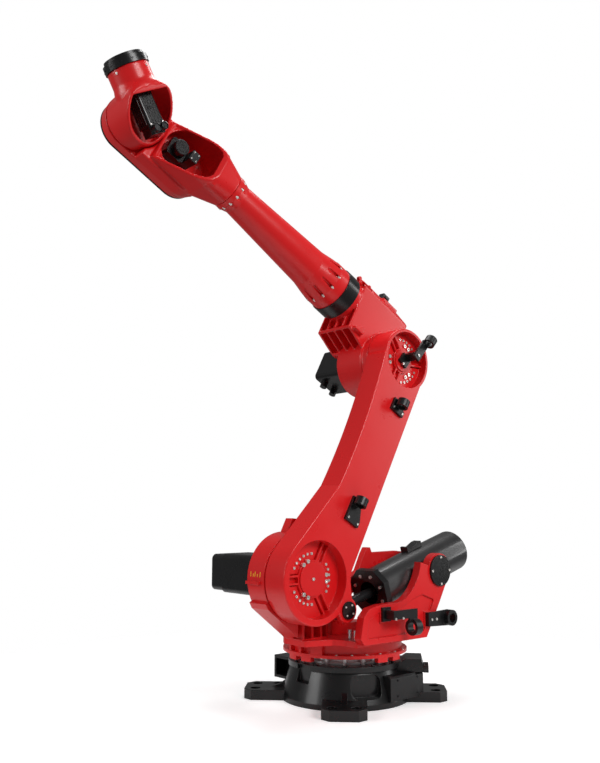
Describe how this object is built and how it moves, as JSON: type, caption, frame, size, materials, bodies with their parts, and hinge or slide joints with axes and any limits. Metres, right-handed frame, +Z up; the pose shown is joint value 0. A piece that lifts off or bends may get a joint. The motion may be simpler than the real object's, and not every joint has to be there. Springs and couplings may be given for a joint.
{
  "type": "industrial robot arm",
  "caption": "Six-axis articulated robot arm on a footed base, with a spring balancer beside the lower arm and a bolted tool flange.",
  "frame": {"origin": "on the slewing axis at floor level, at the centre of the base's foot bolt holes", "axes": "+X towards the front, the side the arm reaches to; +Y to the robot's left, the side of the lower arm; +Z up along the slewing axis"},
  "size_m": [2.047, 0.91, 2.9662],
  "materials": {
    "red_paint": "glossy red paint on cast metal",
    "black_finish": "satin black paint and anodising on castings and motors",
    "bare_steel": "bare turned steel"
  },
  "bodies": {
    "base": {"base_casting": "black_finish", "slew_bearing": "bare_steel", "service_box": "black_finish", "connector_box": "black_finish", "socket_box": "black_finish", "cable_sockets": "black_finish"},
    "turret": {"turret_casting": "red_paint", "shoulder_motor": "black_finish", "slew_motor": "black_finish", "near_bracket": "red_paint", "far_bracket": "red_paint", "near_trunnion": "black_finish", "far_trunnion": "black_finish", "stop_pins": "bare_steel", "front_cable_clamp": "black_finish", "rear_cable_clamp": "black_finish"},
    "lower_arm": {"lower_arm_casting": "red_paint", "shoulder_hub": "red_paint", "elbow_hub": "red_paint", "balancer_pin": "black_finish", "lower_cable_clip": "black_finish", "upper_cable_clip": "black_finish", "elbow_cable_bracket": "black_finish"},
    "elbow": {"elbow_casting": "red_paint", "elbow_motor": "black_finish", "roll_reducer": "black_finish", "elbow_top_plate": "red_paint", "elbow_connector": "black_finish"},
    "forearm": {"forearm_tube": "red_paint", "wrist_housing": "red_paint", "wrist_cover": "black_finish", "wrist_motor": "black_finish", "wrist_connector": "black_finish"},
    "wrist": {"tilt_housing": "red_paint", "tool_motor": "black_finish", "tool_reducer": "black_finish"},
    "tool": {"tool_flange": "black_finish"},
    "balancer": {"balancer_cylinder": "black_finish", "balancer_flange": "black_finish", "lifting_bracket": "black_finish"},
    "rod": {"balancer_rod": "black_finish"}
  },
  "joints": [
    {"name": "slewing", "type": "hinge", "parent": "base", "child": "turret", "pos_m": [0, 0, 0.2], "axis": [0, 0, 1], "range_deg": [-160, 160]},
    {"name": "shoulder", "type": "hinge", "parent": "turret", "child": "lower_arm", "pos_m": [0.453, 0, 0.615], "axis": [0, 1, 0], "range_deg": [-10, 90]},
    {"name": "elbow", "type": "hinge", "parent": "lower_arm", "child": "elbow", "pos_m": [-0.17954, 0, 1.69314], "axis": [0, -1, 0], "range_deg": [-70, 80]},
    {"name": "forearm_roll", "type": "hinge", "parent": "elbow", "child": "forearm", "pos_m": [-0.28398, 0, 1.88791], "axis": [0.8813, 0, 0.4726], "range_deg": [-180, 180]},
    {"name": "wrist_tilt", "type": "hinge", "parent": "forearm", "child": "wrist", "pos_m": [1.2301, 0, 2.69975], "axis": [0, -1, 0], "range_deg": [-125, 60]},
    {"name": "tool_turn", "type": "hinge", "parent": "wrist", "child": "tool", "pos_m": [1.2301, 0, 2.69975], "axis": [0.4955, 0, 0.8686], "range_deg": [-350, 350]},
    {"name": "balancer_swing", "type": "hinge", "parent": "turret", "child": "balancer", "pos_m": [-0.283, 0.235, 0.625], "axis": [0, -1, 0], "range_deg": [-3.6, 32.4]},
    {"name": "rod_swing", "type": "hinge", "parent": "lower_arm", "child": "rod", "pos_m": [0.26975, 0.235, 0.46691], "axis": [0, -1, 0], "range_deg": [-13.6, 122.4]}
  ],
  "couplings": [
    {"joint": "balancer_swing", "follows": "shoulder", "ratio": 0.36},
    {"joint": "rod_swing", "follows": "shoulder", "ratio": 1.36}
  ]
}
